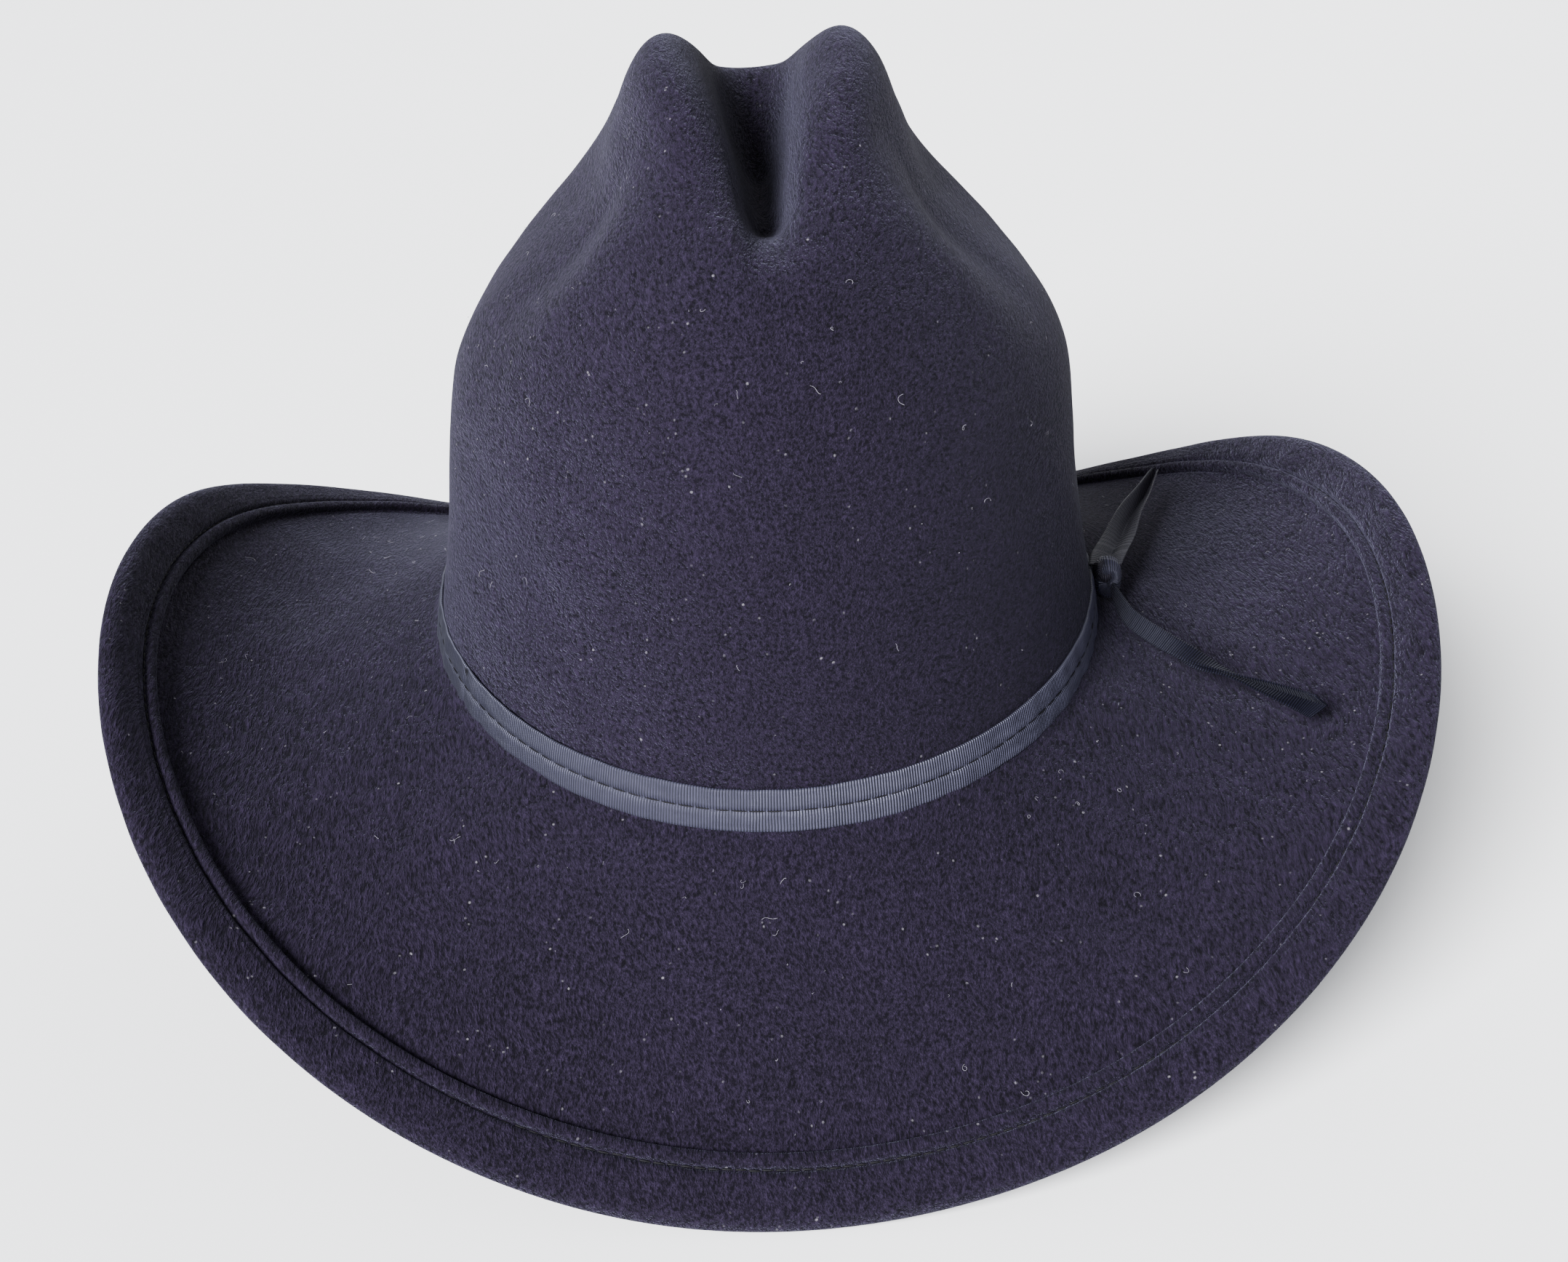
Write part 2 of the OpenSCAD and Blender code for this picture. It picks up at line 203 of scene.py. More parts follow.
def ripple(p, size, seed):
    """A slow, smooth unevenness at points p, about -1 to 1, with features about size mm across."""
    r = np.random.default_rng(seed)
    total = np.zeros(p.shape[:-1])
    for _ in range(7):
        k = r.normal(size=3)
        k *= 2 * math.pi / size / np.linalg.norm(k) * r.uniform(0.6, 1.5)
        total += np.sin(p @ k + r.uniform(0, 2 * math.pi))
    return total / 3.2


# ---------------------------------------------------------------- meshes
def world(p):
    """Points in mm over the band line, as metres in the frame."""
    return np.asarray(p, float) * MM + ORIGIN


def mesh_piece(name, points, faces, uv=None, mat=None):
    """A mesh object from points in mm and faces as lists of corner numbers; uv is one pair a point, in mm."""
    me = bpy.data.meshes.new(name)
    me.from_pydata(world(points).tolist(), [], [list(map(int, f)) for f in faces])
    me.validate()
    if uv is not None:
        layer = me.uv_layers.new(name="along")
        corner = np.zeros(len(me.loops), np.int32)
        me.loops.foreach_get("vertex_index", corner)
        layer.data.foreach_set("uv", np.asarray(uv, float)[corner].astype(np.float32).ravel())
    me.polygons.foreach_set("use_smooth", [True] * len(me.polygons))
    obj = bpy.data.objects.new(name, me)
    bpy.context.scene.collection.objects.link(obj)
    if mat is not None:
        me.materials.append(mat)
    return obj


def grid_faces(rows, cols, close_rows=False):
    """Quads of a grid of points whose columns close on themselves, and whose rows may."""
    i = np.arange(rows if close_rows else rows - 1)[:, None]
    j = np.arange(cols)[None, :]
    a, b = i * cols, ((i + 1) % rows) * cols
    k = (j + 1) % cols
    return np.stack([a + j, b + j, b + k, a + k], -1).reshape(-1, 4)


def hoop(name, grid, mat, uv=None):
    """A closed ring: grid's rows run round its section and its columns round the hat."""
    faces = grid_faces(*grid.shape[:2], close_rows=True)
    return mesh_piece(name, grid.reshape(-1, 3), faces, None if uv is None else uv.reshape(-1, 2), mat)


def cap_faces(rows, cols):
    """Faces of a skin over the crown whose first and last rows each close on the top line.

    The two halves of such a row share their points. Also returned: which of the grid's points are kept.
    """
    half = cols // 2
    short = np.array([j if j <= half else cols - j for j in range(cols)])
    ids = np.empty((rows, cols), int)
    ids[0] = short
    ids[1:-1] = half + 1 + np.arange((rows - 2) * cols).reshape(rows - 2, cols)
    ids[-1] = half + 1 + (rows - 2) * cols + short
    nxt = np.roll(ids, -1, axis=1)
    quads = np.stack([ids[:-1], ids[1:], nxt[1:], nxt[:-1]], -1).reshape(-1, 4)
    keep = np.concatenate([np.arange(half + 1), np.arange(cols, (rows - 1) * cols),
                           (rows - 1) * cols + np.arange(half + 1)])
    return quads, keep


def cap(name, grid, mat):
    """A skin over the crown, from a grid whose first and last rows lie on the top line."""
    quads, keep = cap_faces(*grid.shape[:2])
    return mesh_piece(name, grid.reshape(-1, 3)[keep], quads, None, mat)


def grid_normals(g):
    """Unit normals of a grid whose columns run round the hat and whose rows run down and out."""
    cols = g.shape[1]
    du = np.roll(g, -1, axis=1) - np.roll(g, 1, axis=1)
    dv = np.gradient(g, axis=0)
    n = np.cross(dv, du)
    n[0] = 0
    j = np.arange(cols)
    along = g[0][np.minimum(j + 1, cols - 1)] - g[0][np.maximum(j - 1, 0)]
    n[0, :, 1], n[0, :, 2] = -along[:, 2] * np.sign(along[:, 1]), np.abs(along[:, 1])
    half = cols // 2
    n[0, 0], n[0, half] = n[0, 1], n[0, half - 1]
    return unit(n)


def join(name, objs):
    """One object from several, keeping the first one's place."""
    bpy.ops.object.select_all(action="DESELECT")
    for o in objs:
        o.select_set(True)
    bpy.context.view_layer.objects.active = objs[0]
    bpy.ops.object.join()
    objs[0].name = name
    return objs[0]


def tube(path, radius, sides=8, closed=False):
    """A round cord along path, whose radius may vary along it: points and faces."""
    path = np.asarray(path, float)
    n = len(path)
    radius = np.broadcast_to(radius, (n,))[:, None, None]
    tangent = unit(np.roll(path, -1, 0) - np.roll(path, 1, 0) if closed else np.gradient(path, axis=0))
    steep = abs(tangent[:, 2]).mean() >= 0.8
    side = unit(np.cross(tangent, np.array([1.0, 0.0, 0.0] if steep else [0.0, 0.0, 1.0])))
    over = np.cross(side, tangent)
    a = np.arange(sides)[:, None] * 2 * math.pi / sides
    ring = np.cos(a) * side[:, None] + np.sin(a) * over[:, None]
    points = (path[:, None] + radius * ring).reshape(-1, 3)
    faces = grid_faces(n, sides, close_rows=closed)
    if not closed:
        ends = [list(range(sides))[::-1], list(range((n - 1) * sides, n * sides))]
        faces = [list(f) for f in faces] + ends
    return points, faces


def threads(name, centres, along, up, length, radius, mat, sag=0.35):
    """A row of stitches: short rounded lengths of thread at centres, lying along, their ends dipping in."""
    k = np.linspace(-1, 1, 7)
    fat = radius * np.sqrt(np.clip(1 - (np.abs(k) ** 6) * 0.9, 0.05, 1))
    points, faces, first = [], [], 0
    for c, d, n in zip(centres, along, up):
        path = c + d * (k * length / 2)[:, None] + n * ((1 - k * k) * sag)[:, None]
        p, f = tube(path, fat, sides=6)
        points.append(p)
        faces += [[x + first for x in q] for q in f]
        first += len(p)
    return mesh_piece(name, np.concatenate(points), faces, None, mat)


# ---------------------------------------------------------------- materials
class Shade:
    """A material's node tree, with short calls for the nodes used here."""

    def __init__(self, name):
        self.mat = bpy.data.materials.new(name)
        self.mat.use_nodes = True
        self.tree = self.mat.node_tree
        self.bsdf = self.tree.nodes["Principled BSDF"]

    def add(self, kind, **settings):
        """A new node: _name sets a property, i0 an input by its number, and any other name an input by name."""
        n = self.tree.nodes.new(kind)
        for k, v in settings.items():
            if k.startswith("_"):
                setattr(n, k[1:], v)
            elif k[0] == "i" and k[1:].isdigit():
                self.put(v, n.inputs[int(k[1:])])
            else:
                self.put(v, n.inputs[k.replace("_", " ")])
        return n

    def put(self, v, socket):
        """Link a socket or a node's first output to socket, or write a plain value into it."""
        if isinstance(v, bpy.types.NodeSocket):
            self.tree.links.new(v, socket)
        elif isinstance(v, bpy.types.Node):
            self.tree.links.new(v.outputs[0], socket)
        else:
            socket.default_value = v

    def set(self, **sockets):
        for k, v in sockets.items():
            self.put(v, self.bsdf.inputs[k.replace("_", " ")])

    def place(self):
        return self.add("ShaderNodeTexCoord").outputs["Object"]

    def uv(self):
        return self.add("ShaderNodeUVMap", _uv_map="along").outputs[0]

    def scaled(self, vector, scale, rotation=(0, 0, 0)):
        return self.add("ShaderNodeMapping", Vector=vector, Scale=scale, Rotation=rotation)

    def noise(self, vector, scale, detail=3.0, rough=0.55):
        n = self.add("ShaderNodeTexNoise", Vector=vector, Scale=scale, Detail=detail, Roughness=rough)
        return n.outputs["Fac"]

    def math(self, op, a, b=0.0):
        return self.add("ShaderNodeMath", _operation=op, i0=a, i1=b).outputs[0]

    def remap(self, v, a, b, c=0.0, d=1.0):
        return self.add("ShaderNodeMapRange", Value=v, From_Min=a, From_Max=b, To_Min=c, To_Max=d).outputs[0]

    def mix(self, fac, a, b):
        n = self.add("ShaderNodeMix", _data_type="RGBA")
        self.put(fac, n.inputs[0])
        self.put(a, n.inputs[6])
        self.put(b, n.inputs[7])
        return n.outputs[2]

    def bump(self, height, distance, strength):
        return self.add("ShaderNodeBump", Height=height, Distance=distance, Strength=strength).outputs[0]


def rgb(r, g, b):
    return (r, g, b, 1.0)


def felt_material():
    """Matted fibres in three directions, painted paler than the felt between them as a painted highlight, a fine
    grain, slow blotches and a few pale specks.
    """
    s = Shade("felt")
    p = s.place()
    warp = s.add("ShaderNodeTexNoise", Vector=p, Scale=38.0, Detail=2.0)
    bent = s.add("ShaderNodeVectorMath", _operation="MULTIPLY_ADD", i0=warp.outputs["Color"],
                 i1=(0.006, 0.006, 0.006), i2=p)
    fibres = None
    for rot, scale in (((0.3, 0.2, 0.5), 1150.0), ((1.2, 0.9, 2.1), 1450.0), ((2.0, 0.3, 1.3), 1300.0)):
        m = s.scaled(bent.outputs[0], (1.0, 0.22, 1.0), rot)
        f = s.noise(m.outputs[0], scale, 2.0, 0.6)
        fibres = f if fibres is None else s.math("MAXIMUM", fibres, f)
    grain = s.noise(p, 700.0, 4.0, 0.65)
    nap = s.remap(fibres, 0.46, 0.78)
    blotch = s.noise(p, 30.0, 4.0, 0.6)
    base = s.mix(s.remap(blotch, 0.3, 0.7), rgb(0.0009, 0.0006, 0.0016), rgb(0.0019, 0.0012, 0.0031))
    # The fibres are painted paler and bluer than the felt between them: painted highlight on the fibres.
    lit = s.mix(s.math("MULTIPLY", nap, 0.8), base, rgb(0.0160, 0.0106, 0.0258))
    spots = s.add("ShaderNodeTexVoronoi", Vector=bent.outputs[0], Scale=420.0, Randomness=1.0)
    speck = s.math("MULTIPLY", s.remap(spots.outputs["Distance"], 0.16, 0.05),
                   s.remap(s.noise(p, 160.0, 2.0), 0.56, 0.66))
    colour = s.mix(s.math("MULTIPLY", speck, 0.5), lit, rgb(0.20, 0.19, 0.21))
    height = s.math("ADD", s.math("MULTIPLY", nap, 0.75), s.math("MULTIPLY", grain, 0.5))
    s.set(Base_Color=colour, Roughness=s.remap(nap, 0, 1, 0.95, 0.78), Sheen_Weight=0.07,
          Sheen_Roughness=0.38, Sheen_Tint=rgb(0.55, 0.55, 0.80), Specular_IOR_Level=0.08,
          Normal=s.bump(height, 0.0006, 1.0))
    return s.mat


def ribbon_material(name, base, rib, gloss):
    """Grosgrain: ribs across the ribbon, from uv in mm (along, across). base is between the ribs: painted shade
    in the grooves.
    """
    s = Shade(name)
    sep = s.add("ShaderNodeSeparateXYZ", Vector=s.uv())
    along, across = sep.outputs[0], sep.outputs[1]
    wander = s.math("MULTIPLY", s.noise(s.scaled(s.uv(), (0.15, 0.4, 1)).outputs[0], 1.0, 2.0), 0.25)
    phase = s.math("MULTIPLY", s.math("ADD", along, wander), 2 * math.pi / RIB_STEP)
    ridge = s.math("MULTIPLY", s.math("ADD", s.math("COSINE", phase), 1.0), 0.5)
    yarn = s.math("SINE", s.math("MULTIPLY", across, 2 * math.pi / 0.32))
    weave = s.math("MULTIPLY", s.math("ADD", yarn, 1.0), 0.5)
    uneven = s.noise(s.scaled(s.uv(), (0.35, 0.8, 1)).outputs[0], 1.0, 4.0)
    fuzz = s.noise(s.scaled(s.uv(), (6, 3, 1)).outputs[0], 1.0, 2.0)
    top = s.mix(s.remap(uneven, 0.3, 0.7), rib, tuple(c * 0.72 for c in rib[:3]) + (1.0,))
    # Near black base in the grooves and paler rib tops: painted shade between the ribs.
    colour = s.mix(s.math("POWER", ridge, 1.4), base, top)
    fine = s.math("ADD", s.math("MULTIPLY", weave, 0.12), s.math("MULTIPLY", fuzz, 0.15))
    s.set(Base_Color=colour, Roughness=s.remap(ridge, 0, 1, 0.62, 0.36), Sheen_Weight=0.02,
          Sheen_Roughness=0.4, Sheen_Tint=rgb(0.7, 0.72, 0.9), Specular_IOR_Level=gloss,
          Specular_Tint=rgb(0.78, 0.80, 1.0), Normal=s.bump(s.math("ADD", ridge, fine), 0.0002, 1.0))
    return s.mat


def thread_material(name, colour, light):
    """Dull thread, its strands between colour and light."""
    s = Shade(name)
    p = s.place()
    strand = s.noise(s.scaled(p, (1, 1, 1), (0.4, 0.6, 0.2)).outputs[0], 2600.0, 2.0)
    s.set(Base_Color=s.mix(s.remap(strand, 0.35, 0.65), colour, light), Roughness=0.7,
          Specular_IOR_Level=0.15, Normal=s.bump(strand, 0.0001, 0.6))
    return s.mat


def leather_material():
    s = Shade("leather")
    p = s.place()
    cells = s.add("ShaderNodeTexVoronoi", Vector=p, Scale=900.0, _feature="DISTANCE_TO_EDGE")
    cracks = s.remap(cells.outputs["Distance"], 0.0, 0.12)
    pores = s.noise(p, 2200.0, 3.0)
    tone = s.noise(p, 45.0, 5.0, 0.6)
    worn = s.remap(s.noise(p, 18.0, 3.0), 0.42, 0.7)
    base = s.mix(s.remap(tone, 0.3, 0.7), rgb(0.022, 0.014, 0.010), rgb(0.045, 0.028, 0.019))
    colour = s.mix(s.math("MULTIPLY", worn, 0.35), base, rgb(0.085, 0.055, 0.038))
    height = s.math("ADD", cracks, s.math("MULTIPLY", pores, 0.4))
    s.set(Base_Color=colour, Roughness=s.remap(tone, 0.3, 0.7, 0.42, 0.56), Specular_IOR_Level=0.45,
          Coat_Weight=0.08, Coat_Roughness=0.35, Normal=s.bump(height, 0.00012, 0.7))
    return s.mat


def satin_material():
    s = Shade("satin")
    p = s.place()
    slub = s.noise(s.scaled(p, (1, 1, 0.08)).outputs[0], 2400.0, 2.0)
    fold = s.noise(p, 60.0, 4.0)
    # Paler where the fold bump rises, darker where it sinks: painted highlight and shade on the folds.
    colour = s.mix(s.remap(fold, 0.3, 0.7), rgb(0.36, 0.34, 0.31), rgb(0.50, 0.475, 0.44))
    colour = s.mix(s.remap(slub, 0.4, 0.6, 0.0, 0.25), colour, rgb(0.62, 0.60, 0.56))
    s.set(Base_Color=colour, Roughness=0.32, Specular_IOR_Level=0.6, Anisotropic=0.6, Sheen_Weight=0.2,
          Normal=s.bump(s.math("ADD", slub, s.math("MULTIPLY", fold, 0.6)), 0.00012, 0.6))
    return s.mat


def reed_material():
    s = Shade("reed")
    p = s.place()
    line = s.noise(s.scaled(p, (1, 1, 8)).outputs[0], 300.0, 3.0)
    colour = s.mix(s.remap(line, 0.35, 0.65), rgb(0.50, 0.47, 0.40), rgb(0.62, 0.59, 0.52))
    s.set(Base_Color=colour, Roughness=0.45, Normal=s.bump(line, 0.0001, 0.4))
    return s.mat


def floor_material():
    s = Shade("floor")
    n = s.noise(s.place(), 3.0, 3.0)
    s.set(Base_Color=s.mix(n, rgb(0.90, 0.90, 0.90), rgb(0.93, 0.93, 0.93)), Roughness=0.8)
    return s.mat


FELT = felt_material()
RIBBON = ribbon_material("ribbon_grosgrain", rgb(0.0010, 0.0010, 0.0030),
                         rgb(0.0320, 0.0310, 0.0530), 0.46)
# A darker, pinker, less glossy copy of the band's ribbon: painted shade on the back tail and on the knot's under
# turn.
HALF_SHADED_RIBBON = ribbon_material("ribbon_grosgrain_half_shade", rgb(0.0010, 0.0008, 0.0016),
                              rgb(0.0270, 0.0230, 0.0330), 0.30)
# A near black, dull copy of the band's ribbon: painted shade on the front tail.
SHADED_RIBBON = ribbon_material("ribbon_grosgrain_painted_shade", rgb(0.0002, 0.0002, 0.0005),
                              rgb(0.0052, 0.0050, 0.0110), 0.09)
THREAD = thread_material("thread_black", rgb(0.0010, 0.0009, 0.0014), rgb(0.0034, 0.0030, 0.0045))
TAN_THREAD = thread_material("thread_brown", rgb(0.05, 0.038, 0.028), rgb(0.12, 0.095, 0.072))
LEATHER = leather_material()
SATIN = satin_material()
REED = reed_material()
LINT = thread_material("lint", rgb(0.09, 0.085, 0.10), rgb(0.20, 0.19, 0.22))


# ---------------------------------------------------------------- camera, lights, floor
def make_camera():
    """At the angle the hat is seen from: a little above, almost straight in front."""
    el, yaw, roll, dist = math.radians(26.5), math.radians(-2.2), math.radians(-1.7), 560 * MM
    back = Vector((math.sin(yaw) * math.cos(el), -math.cos(yaw) * math.cos(el), math.sin(el)))
    right = Vector((0, 0, 1)).cross(back).normalized()
    up = back.cross(right)
    r = right * math.cos(roll) + up * math.sin(roll)
    u = -right * math.sin(roll) + up * math.cos(roll)
    cam = bpy.data.objects.new("camera", bpy.data.cameras.new("camera"))
    bpy.context.scene.collection.objects.link(cam)
    cam.data.sensor_width = 36.0
    cam.data.lens = 49.2579
    place = Vector(world((4.3, 0, -2.0))) + back * dist
    cam.matrix_world = Matrix(((r.x, u.x, back.x, place.x), (r.y, u.y, back.y, place.y),
                               (r.z, u.z, back.z, place.z), (0, 0, 0, 1)))
    cam.data.clip_start, cam.data.clip_end = 0.01, 50
    bpy.context.scene.camera = cam


def area_light(name, place, target, size, watts, colour=(1, 1, 1)):
    data = bpy.data.lights.new(name, "AREA")
    data.shape, data.size, data.energy, data.color = "DISK", size, watts, colour
    o = bpy.data.objects.new(name, data)
    bpy.context.scene.collection.objects.link(o)
    o.location = place
    o.rotation_euler = (Vector(target) - Vector(place)).to_track_quat("-Z", "Y").to_euler()


def make_stage():
    """A pale floor, an even sky that is brighter to the camera, a broad soft sun and two weak lamps."""
    corners = np.array([[-6, -6, 0], [6, -6, 0], [6, 6, 0], [-6, 6, 0.0]])
    floor = mesh_piece("floor", (corners - ORIGIN) / MM, [[0, 1, 2, 3]], None, floor_material())
    floor.location.z = -0.0006
    w = bpy.data.worlds.new("studio")
    bpy.context.scene.world = w
    w.use_nodes = True
    sky = w.node_tree.nodes["Background"]
    sky.inputs[0].default_value = (0.93, 0.95, 1.0, 1)
    seen = w.node_tree.nodes.new("ShaderNodeLightPath").outputs["Is Camera Ray"]
    level = w.node_tree.nodes.new("ShaderNodeMapRange")
    level.inputs["To Min"].default_value, level.inputs["To Max"].default_value = 0.6, 2.6
    w.node_tree.links.new(seen, level.inputs["Value"])
    w.node_tree.links.new(level.outputs[0], sky.inputs[1])
    key = bpy.data.lights.new("key", "SUN")
    key.energy, key.angle, key.color = 19.0, math.radians(28), (0.96, 0.97, 1.0)
    o = bpy.data.objects.new("key", key)
    bpy.context.scene.collection.objects.link(o)
    o.rotation_euler = Vector((0.62, 0.85, -0.62)).to_track_quat("-Z", "Y").to_euler()
    area_light("fill", (1.1, -0.9, 0.9), (0, 0, 0.1), 1.0, 3, (0.92, 0.94, 1.0))
    area_light("rim", (0.3, 1.3, 1.2), (0, 0, 0.12), 0.9, 8)


# ---------------------------------------------------------------- felt body
COLS = 720   # points round the felt


def welt_profile():
    """The turned-over edge in section: distance inboard of the brim's edge, and height over its top face."""
    inner = [(0.35, 0.0), (0.12, 0.10), (0.05, 0.55), (0.10, 1.25), (-0.15, 1.95), (-0.75, 2.42), (-1.7, 2.62),
             (-2.6, 2.50), (-3.1, 2.05), (-3.45, 1.35), (-3.8, 1.30), (-4.2, 2.0), (-4.9, 2.45), (-6.2, 2.62)]
    edge = [(8.0, 2.68), (5.5, 2.66), (3.2, 2.55), (1.4, 2.15), (0.1, 1.40), (-0.75, 0.30), (-0.85, -0.70),
            (-0.1, -1.60), (1.3, -2.12), (3.5, -2.3), (6.5, -2.3)]
    low = [(-5.0, -2.25), (-4.1, -2.0), (-3.65, -1.55), (-3.2, -2.0), (-2.2, -2.3)]
    from_welt = lambda rows: [(WELT_W + x, y) for x, y in rows]
    return curve(from_welt(inner) + edge + from_welt(low), np.linspace(0, 1, 150))


def neck(top, brim_top):
    """Rows that carry the crown's face round into the brim's."""
    k = np.linspace(0, 1, 9)[1:-1, None, None]
    reach = 4.2
    a, b = top[-1], brim_top[0]
    ta, tb = unit(top[-1] - top[-2]) * reach, unit(brim_top[1] - brim_top[0]) * reach
    return ((2 * k ** 3 - 3 * k ** 2 + 1) * a + (k ** 3 - 2 * k ** 2 + k) * ta
            + (-2 * k ** 3 + 3 * k ** 2) * b + (k ** 3 - k ** 2) * tb)


def felt_inside(t):
    """The felt's other face: under the brim from its edge inwards, then up inside the crown."""
    share = np.linspace(0, 1, 90)[::-2, None]
    low, _, low_up = brim(t, 3.0 + share * (brim_width(t) - WELT_W - 5.0))
    v = np.linspace(0.03, 1, 110) ** 0.95
    face = crown(t[None, :], v[:, None], crease_d=CREASE_D + 0.5, widen=1.0)
    inner = face - grid_normals(face[::-1])[::-1] * FELT_T
    inner[-1, :, 0] = LEAN
    return np.concatenate([low - low_up * FELT_T, inner])


def felt_grid():
    """The whole felt as one skin: from the crown's top line out, round the brim's edge, and back up inside."""
    t = round_hat(COLS)
    v = 1 - np.linspace(0, 1, 170) ** 1.15 * (1 - 0.017)
    top = crown(t[None, :], v[:, None])
    top[0, :, 0] = LEAN
    share = np.linspace(0, 1, 90)[:, None]
    brim_top = brim(t, 2.0 + share * (brim_width(t) - WELT_W - 2.6))[0]
    profile = welt_profile()
    p, _, up = brim(t, profile[:, 0], True)
    uneven = 1 + 0.06 * ripple(p, 22, 5)
    welt = p + up * (profile[:, 1][:, None] * uneven)[..., None]
    face = np.concatenate([top, neck(top, brim_top), brim_top])
    g = np.concatenate([face, welt, felt_inside(t)])
    soft = 0.35 * ripple(g, 70, 11) + 0.10 * ripple(g, 17, 12)
    flare = ease(4, 60, np.hypot(g[..., 0] / HALF_W, g[..., 1] / HALF_L) * 90 - 90)
    g[..., 2] += flare * 0.7 * ripple(g, 120, 13)
    move = soft[:len(face), :, None] * grid_normals(face)
    move[0, :, 0] = 0
    g[:len(face)] += move * ease(0, 12, np.arange(len(face)))[:, None, None]
    return g


def make_felt():
    o = cap("felt_hat_body", felt_grid(), FELT)
    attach(o, "hat")
    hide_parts("felt_body")


def make_welt_stitches():
    """Two rows, over and under the brim, in the groove beside the turned-over edge."""
    n = 330
    t = round_hat(n)
    p, o, up = brim(t, np.array([WELT_W - 3.62]), True)
    p, up = p[0], up[0]
    along = unit(np.roll(p, -1, 0) - np.roll(p, 1, 0))
    wander = RNG.normal(0, 0.09, n)[:, None] * o[0]
    row = threads("welt_thread", p + up * 1.45 + wander, along, up, 2.3, 0.24, THREAD, 0.12)
    low = threads("welt_thread_under", p - up * 1.95 - wander, along, -up, 2.3, 0.24, THREAD, 0.12)
    o = join("welt_thread", [row, low])
    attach(o, "hat")
    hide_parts("welt_stitching")


# ---------------------------------------------------------------- band
TACKS = (-152, 150, 90, 30)   # degrees
KNOT_DEG = -6   # the band's ends meet here, under the knot
KNOT_T = math.radians(KNOT_DEG)


def band_faces(n):
    """The felt's face under the band at n angles and five heights, ready to be read at any height between."""
    t = np.radians(KNOT_DEG + np.arange(n) * 360 / n)
    coarse = np.radians(KNOT_DEG + np.arange(361))
    heights = np.linspace(0, RIBBON_W + 4, 5)
    rough = wall(coarse[:, None], heights[None, :], 0.0)
    at = np.arange(n) * 360 / n
    fine = np.stack([[np.interp(at, np.arange(361), rough[:, h, k]) for k in range(3)] for h in range(5)])
    return t, heights, np.transpose(fine, (2, 0, 1))


def on_band(faces, h, d):
    """Points at heights h (rows by angles) above the band line and d off the felt."""
    t, heights, face = faces
    x = np.clip(h / heights[1], 0, 3.999)
    i = x.astype(int)
    f = (x - i)[..., None]
    cols = np.arange(len(t))[None, :]
    return face[cols, i] * (1 - f) + face[cols, i + 1] * f + out_dir(t)[None] * d[..., None]


def turn_from(t, deg):
    """Degrees between the angles t and deg."""
    return np.degrees(np.abs(np.angle(np.exp(1j * (t - math.radians(deg))))))


def band_line(faces):
    """Along the band: length so far, middle's height, width, and how much it is gathered and pinched."""
    t = faces[0]
    n = len(t)
    mid = on_band(faces, np.full((1, n), 8.0), np.zeros((1, n)))[0]
    step = np.linalg.norm(np.roll(mid, -1, 0) - mid, axis=1)
    length = np.concatenate([[0], np.cumsum(step)])[:-1]
    gather = np.exp(-(turn_from(t, KNOT_DEG) / 3.6) ** 2)
    pinch = sum(np.exp(-(turn_from(t, k) / 0.75) ** 2) for k in TACKS)
    width = (RIBBON_W * (1 - 0.30 * gather - 0.05 * pinch)
             + 0.12 * np.sin(length / 9.0) + 0.08 * np.sin(length / 3.7 + 1))
    centre = BAND_LOW + RIBBON_W / 2 + 0.18 * np.sin(length / 23.0) + 0.3 * gather
    return length, centre, width, gather, pinch


def make_band_ribbon(faces, length, centre, width, gather, pinch):
    """The band's ribbon, sunk along its stitches, with ribs, gathered at the knot and pinched at the tacks."""
    n = len(length)
    w = np.array([0.05, 0.14, 0.28, 0.45, 0.65, 0.85, 0.95, 0.99, 1])
    w = np.concatenate([-w[::-1], [0], w])
    out = 0.28 + RIBBON_T + 0.16 * (1 - np.abs(w) ** 3) - 0.30 * np.exp(-(w * 5 / 0.5) ** 2)
    out[[0, -1]] -= 0.30
    out[[1, -2]] -= 0.10
    rib = 0.06 * np.cos(2 * math.pi * length / RIB_STEP)
    puff = 1 + 0.10 * np.sin(length / 3.1) + 0.08 * np.sin(length / 1.3 + 2)
    lift = (out[:, None] * puff + rib * (np.abs(w) < 0.97)[:, None]
            - 0.35 * pinch * (0.4 + 0.6 * np.abs(w))[:, None] + 0.35 * gather)
    outer = on_band(faces, centre + w[:, None] * width / 2, lift)
    wi = np.array([0.96, 0, -0.96])
    inner = on_band(faces, centre + wi[:, None] * width / 2, np.full((3, n), 0.16))
    across = np.concatenate([w, wi])[:, None] * 5.0 * np.ones(n)
    uv = np.stack([np.broadcast_to(length, across.shape), across], -1)
    o = hoop("ribbon_band", np.concatenate([outer, inner]), RIBBON, uv)
    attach(o, "hat")
    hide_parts("hat_band")


def make_band_thread(faces, centre):
    """The row of stitches along the band's middle, left out under the knot."""
    t = faces[0]
    n = len(t)
    k = np.arange(14, n - 1, 27)
    k = k[turn_from(t, KNOT_DEG)[k] > 3.2]
    c = on_band(faces, centre[None, :], np.full((1, n), RIBBON_T + 0.16))[0]
    along = unit(np.roll(c, -3, 0) - np.roll(c, 3, 0))
    o = threads("band_thread", c[k], along[k], out_dir(t)[k], 3.5, 0.15, THREAD, 0.10)
    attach(o, "hat")
    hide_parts("band_stitching")


